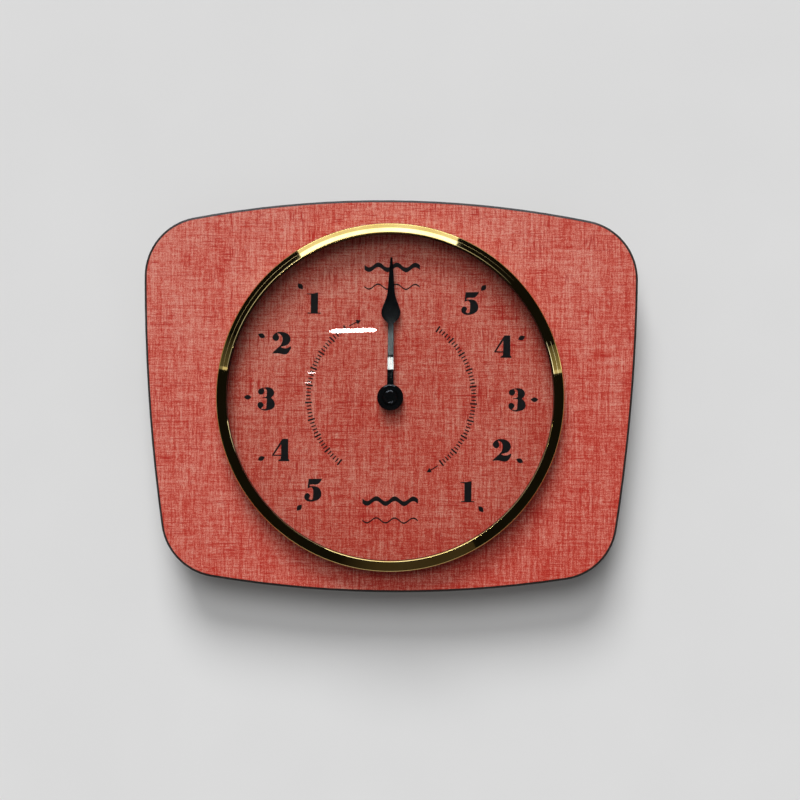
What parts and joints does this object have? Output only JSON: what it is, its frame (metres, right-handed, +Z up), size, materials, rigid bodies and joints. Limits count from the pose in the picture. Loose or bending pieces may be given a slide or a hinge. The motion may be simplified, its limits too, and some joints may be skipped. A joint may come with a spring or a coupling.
{
  "type": "tide clock",
  "caption": "Wall tide clock: bowed trapezoid laminate panel, round brass bezel with domed glass, pear-shaped hand on a geared quartz movement, cranked hanger behind.",
  "frame": {"origin": "centre of the hanger plate's nail hole, on the plate's face towards the wall", "axes": "+X to the right as seen from the front, +Y towards the wall, +Z up"},
  "size_m": [0.24, 0.052, 0.1907],
  "materials": {
    "laminate": "satin decorative laminate with a linen pattern",
    "board": "fibreboard sealed in matt black",
    "bezel_brass": "polished and lacquered",
    "glass": "clear domed glass",
    "ring_black": "matt black moulding",
    "hand_black": "gloss black enamel",
    "bush_brass": "turned, bare",
    "rubber": "matt black",
    "plated_steel": "zinc plated",
    "case_plastic": "fine spark texture",
    "gear_plastic": "natural acetal",
    "knob_plastic": "moulded, satin",
    "magnet": "sintered",
    "motor_steel": "stamped soft iron",
    "bobbin_plastic": "moulded",
    "copper": "enamelled copper wire",
    "circuit": "green solder mask",
    "chip_resin": "cast resin drop",
    "crystal_can": "drawn can",
    "battery_jacket": "plain sleeve with a bare steel end",
    "contact_nickel": "nickel plated strip",
    "spacer_plastic": "matt black moulding"
  },
  "bodies": {
    "clock": {"face_laminate": "laminate", "backing_board": "board", "bezel": "bezel_brass", "glass": "glass", "glass_ring": "ring_black", "threaded_bush": "bush_brass", "flat_washer": "bush_brass", "hex_nut": "bush_brass", "rubber_washer": "rubber", "hanger_plate": "plated_steel", "movement_case": "case_plastic", "movement_cover": "case_plastic", "train_bridge": "gear_plastic", "stator": "motor_steel", "coil_core": "motor_steel", "coil_bobbin": "bobbin_plastic", "coil_winding": "copper", "coil_screws": "plated_steel", "circuit_board": "circuit", "circuit_chip": "chip_resin", "quartz_crystal": "crystal_can", "positive_contact": "contact_nickel", "negative_contact": "contact_nickel", "wall_spacers": "spacer_plastic", "spacer_screws": "plated_steel", "spacer_pads": "rubber"},
    "hand": {"tide_hand": "hand_black", "hand_hub": "hand_black", "hub_cap": "hand_black", "tide_wheel": "gear_plastic"},
    "motion_wheel": {"motion_wheel": "gear_plastic"},
    "cannon_pinion": {"cannon_pinion": "gear_plastic"},
    "setting_knob": {"setting_knob": "knob_plastic", "setting_shaft": "gear_plastic"},
    "centre_wheel": {"centre_wheel": "gear_plastic"},
    "third_wheel": {"third_wheel": "gear_plastic"},
    "fourth_wheel": {"fourth_wheel": "gear_plastic"},
    "fifth_wheel": {"fifth_wheel": "gear_plastic"},
    "rotor": {"rotor": "gear_plastic", "rotor_magnet": "magnet"},
    "battery": {"battery": "battery_jacket"}
  },
  "joints": [
    {"name": "tide_hand_turn", "type": "hinge", "parent": "clock", "child": "hand", "pos_m": [0, -0.0358, -0.044], "axis": [0, 1, 0], "continuous": true},
    {"name": "motion_wheel_turn", "type": "hinge", "parent": "clock", "child": "motion_wheel", "pos_m": [-0.01, -0.0166, -0.044], "axis": [0, 1, 0], "continuous": true},
    {"name": "cannon_pinion_turn", "type": "hinge", "parent": "clock", "child": "cannon_pinion", "pos_m": [0, -0.0166, -0.044], "axis": [0, 1, 0], "continuous": true},
    {"name": "setting_knob_turn", "type": "hinge", "parent": "clock", "child": "setting_knob", "pos_m": [-0.01642, -0.0042, -0.03483], "axis": [0, 1, 0], "continuous": true},
    {"name": "fourth_wheel_turn", "type": "hinge", "parent": "clock", "child": "fourth_wheel", "pos_m": [0, -0.0124, -0.044], "axis": [0, 1, 0], "continuous": true},
    {"name": "fifth_wheel_turn", "type": "hinge", "parent": "clock", "child": "fifth_wheel", "pos_m": [0.01016, -0.011, -0.04489], "axis": [0, 1, 0], "continuous": true},
    {"name": "rotor_turn", "type": "hinge", "parent": "clock", "child": "rotor", "pos_m": [0.01627, -0.0097, -0.04267], "axis": [0, 1, 0], "continuous": true},
    {"name": "third_wheel_turn", "type": "hinge", "parent": "clock", "child": "third_wheel", "pos_m": [0.00325, -0.0138, -0.03507], "axis": [0, 1, 0], "continuous": true},
    {"name": "centre_wheel_turn", "type": "hinge", "parent": "clock", "child": "centre_wheel", "pos_m": [0, -0.0152, -0.044], "axis": [0, 1, 0], "continuous": true},
    {"name": "battery_slide", "type": "slide", "parent": "clock", "child": "battery", "axis": [0, 1, 0], "range_m": [0, 0.02]}
  ],
  "couplings": [
    {"joint": "motion_wheel_turn", "follows": "tide_hand_turn", "ratio": -3},
    {"joint": "cannon_pinion_turn", "follows": "tide_hand_turn", "ratio": 12},
    {"joint": "setting_knob_turn", "follows": "tide_hand_turn", "ratio": 7.5},
    {"joint": "fifth_wheel_turn", "follows": "fourth_wheel_turn", "ratio": -6},
    {"joint": "rotor_turn", "follows": "fourth_wheel_turn", "ratio": 30},
    {"joint": "third_wheel_turn", "follows": "fourth_wheel_turn", "ratio": -0.13333},
    {"joint": "centre_wheel_turn", "follows": "fourth_wheel_turn", "ratio": 0.016667}
  ]
}
